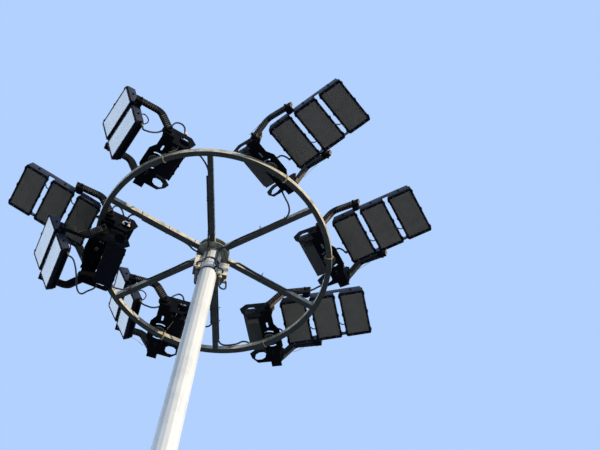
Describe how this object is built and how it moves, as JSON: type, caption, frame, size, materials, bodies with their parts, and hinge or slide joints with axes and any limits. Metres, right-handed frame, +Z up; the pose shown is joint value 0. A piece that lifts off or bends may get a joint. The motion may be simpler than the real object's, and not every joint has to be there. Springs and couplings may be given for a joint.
{
  "type": "stadium floodlight pylon",
  "caption": "Tall tapered steel mast with a spoked ring at its top that carries aimable floodlights on bent yoke arms.",
  "frame": {"origin": "centre of the base flange on its underside, where it stands on the foundation", "axes": "+Z up along the mast; +Y away from the viewpoint of the picture, +X to its right"},
  "size_m": [3.9276, 3.1436, 21.5915],
  "materials": {
    "black_anodised": "black coated aluminium",
    "black_powder_coat": "satin black powder coat",
    "black_rubber": "black rubber sheath",
    "cream_enamel": "cast housing with cream enamel",
    "dark_galvanised": "hot-dip galvanised, weathered dull",
    "galvanised_steel": "hot-dip galvanised, pale and weathered",
    "grey_anodised": "grey-blue coated aluminium",
    "lens_polycarbonate": "smoked clear cover over a grid of small lenses"
  },
  "bodies": {
    "mast": {"base_flange": "galvanised_steel", "base_gussets": "galvanised_steel", "pole_lower": "galvanised_steel", "service_cover": "galvanised_steel", "pole_upper": "galvanised_steel", "hub": "dark_galvanised", "spokes": "dark_galvanised", "ring": "dark_galvanised", "ring_pads": "dark_galvanised", "junction_boxes": "cream_enamel", "pole_straps": "black_rubber", "feed_cables": "black_rubber"},
    "yoke_1": {"bracket_1": "black_powder_coat", "driver_box_1": "black_anodised", "arms_1": "black_powder_coat"},
    "head_1": {"rails_1": "grey_anodised", "modules_1": "black_anodised", "lenses_1": "lens_polycarbonate"},
    "yoke_2": {"bracket_2": "black_powder_coat", "driver_box_2": "black_anodised", "arms_2": "black_powder_coat"},
    "head_2": {"rails_2": "grey_anodised", "modules_2": "black_anodised", "lenses_2": "lens_polycarbonate"},
    "yoke_3": {"bracket_3": "black_powder_coat", "driver_box_3": "black_anodised", "arms_3": "black_powder_coat"},
    "head_3": {"rails_3": "grey_anodised", "modules_3": "black_anodised", "lenses_3": "lens_polycarbonate"},
    "yoke_4": {"bracket_4": "black_powder_coat", "driver_box_4": "black_anodised", "arms_4": "black_powder_coat"},
    "head_4": {"rails_4": "grey_anodised", "modules_4": "black_anodised", "lenses_4": "lens_polycarbonate"},
    "yoke_5": {"bracket_5": "black_powder_coat", "driver_box_5": "black_anodised", "arms_5": "black_powder_coat"},
    "head_5": {"rails_5": "grey_anodised", "modules_5": "black_anodised", "lenses_5": "lens_polycarbonate"},
    "yoke_6": {"bracket_6": "black_powder_coat", "driver_box_6": "black_anodised", "arms_6": "black_powder_coat"},
    "head_6": {"rails_6": "grey_anodised", "modules_6": "black_anodised", "lenses_6": "lens_polycarbonate"},
    "yoke_7": {"bracket_7": "black_powder_coat", "driver_box_7": "black_anodised", "arms_7": "black_powder_coat"},
    "head_7": {"rails_7": "grey_anodised", "modules_7": "black_anodised", "lenses_7": "lens_polycarbonate"}
  },
  "joints": [
    {"name": "pan_1", "type": "hinge", "parent": "mast", "child": "yoke_1", "pos_m": [-0.67067, -0.84013, 21], "axis": [0, 0, 1], "range_deg": [-20, 20]},
    {"name": "tilt_1", "type": "hinge", "parent": "yoke_1", "child": "head_1", "pos_m": [-1.00676, -0.96915, 21.3472], "axis": [-0.3584, 0.9336, 0], "range_deg": [-68.7, 1.3]},
    {"name": "pan_2", "type": "hinge", "parent": "mast", "child": "yoke_2", "pos_m": [-1.06056, 0.17558, 21], "axis": [0, 0, 1], "range_deg": [-20, 20]},
    {"name": "tilt_2", "type": "hinge", "parent": "yoke_2", "child": "head_2", "pos_m": [-1.40645, 0.07574, 21.3472], "axis": [-0.2773, 0.9608, 0], "range_deg": [-12, 58]},
    {"name": "pan_3", "type": "hinge", "parent": "mast", "child": "yoke_3", "pos_m": [-1.06206, 0.16631, 21], "axis": [0, 0, 1], "range_deg": [-20, 20]},
    {"name": "tilt_3", "type": "hinge", "parent": "yoke_3", "child": "head_3", "pos_m": [-1.4147, 0.09393, 20.6528], "axis": [-0.2011, 0.9796, 0], "range_deg": [-45.6, 24.4]},
    {"name": "pan_4", "type": "hinge", "parent": "mast", "child": "yoke_4", "pos_m": [-0.37647, 1.00692, 21], "axis": [0, 0, 1], "range_deg": [-20, 20]},
    {"name": "tilt_4", "type": "hinge", "parent": "yoke_4", "child": "head_4", "pos_m": [-0.73499, 0.9743, 21.3472], "axis": [-0.0906, 0.9959, 0], "range_deg": [-64, 6]},
    {"name": "pan_5", "type": "hinge", "parent": "mast", "child": "yoke_5", "pos_m": [0.38174, -1.00494, 21], "axis": [0, 0, 1], "range_deg": [-20, 20]},
    {"name": "tilt_5", "type": "hinge", "parent": "yoke_5", "child": "head_5", "pos_m": [0.63091, -1.26477, 21.3472], "axis": [-0.7218, -0.6921, 0], "range_deg": [-12.5, 57.5]},
    {"name": "pan_6", "type": "hinge", "parent": "mast", "child": "yoke_6", "pos_m": [1.06347, -0.15704, 21], "axis": [0, 0, 1], "range_deg": [-20, 20]},
    {"name": "tilt_6", "type": "hinge", "parent": "yoke_6", "child": "head_6", "pos_m": [1.35728, -0.36507, 21.3472], "axis": [-0.5779, -0.8161, 0], "range_deg": [-8.7, 61.3]},
    {"name": "pan_7", "type": "hinge", "parent": "mast", "child": "yoke_7", "pos_m": [0.66773, 0.84247, 21], "axis": [0, 0, 1], "range_deg": [-20, 20]},
    {"name": "tilt_7", "type": "hinge", "parent": "yoke_7", "child": "head_7", "pos_m": [1.00624, 0.71993, 21.3472], "axis": [-0.3404, -0.9403, 0], "range_deg": [-6.1, 63.9]}
  ]
}
